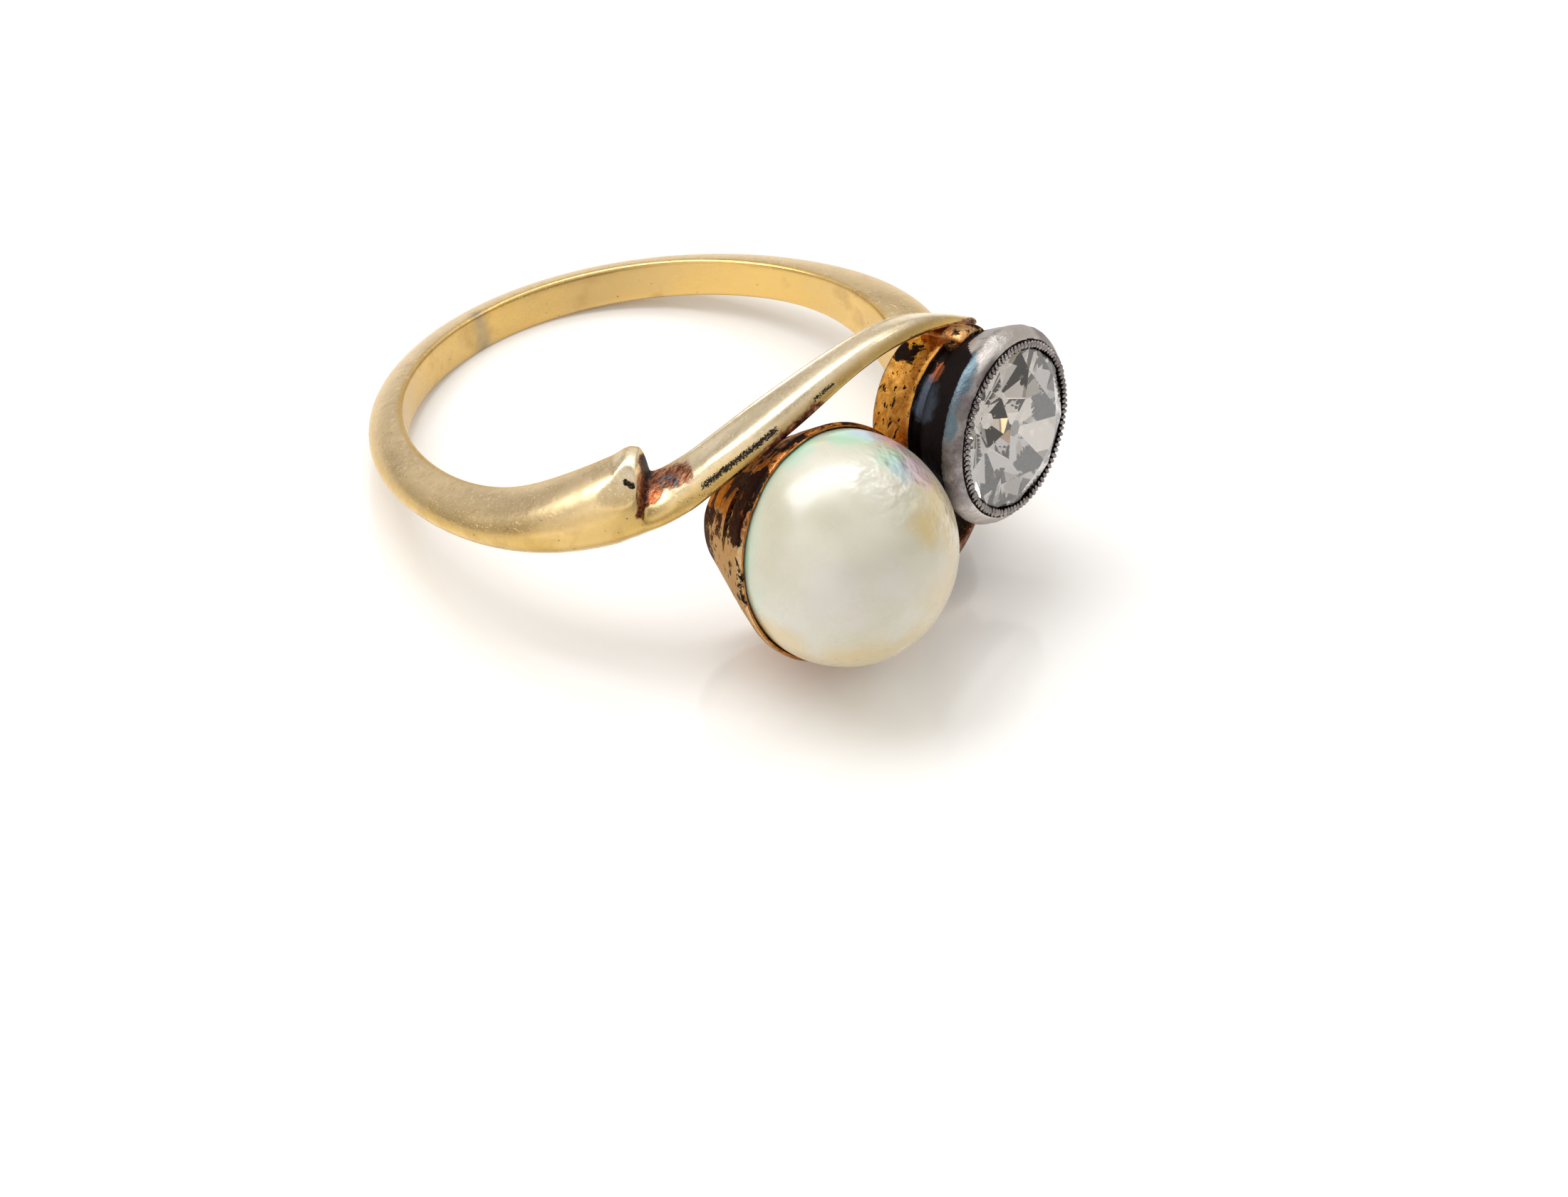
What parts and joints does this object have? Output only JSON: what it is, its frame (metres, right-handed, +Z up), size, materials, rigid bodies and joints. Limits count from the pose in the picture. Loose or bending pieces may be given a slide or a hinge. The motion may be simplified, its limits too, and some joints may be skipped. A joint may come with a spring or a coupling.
{
  "type": "pearl and diamond crossover finger ring",
  "caption": "Gold finger ring whose two arms sweep past each other to a round pearl in a slotted cup and an old cut diamond in a silver millegrain collet.",
  "frame": {"origin": "on the table under the middle of the ring as it lies there", "axes": "+Z up from the table, -Y towards the pearl and the diamond, +X towards the diamond's side"},
  "size_m": [0.0206, 0.025, 0.0099],
  "materials": {
    "gold": "pale yellow gold, softly polished, worn, tarnished orange and black in the settings",
    "silver": "old silver, grey with a lilac and teal bloom",
    "pearl": "creamy white nacre with green and pink orient",
    "diamond": "clear, old cut"
  },
  "bodies": {
    "root": {"gold_mount": "gold", "silver_collet": "silver", "pearl": "pearl", "diamond": "diamond"}
  },
  "joints": []
}
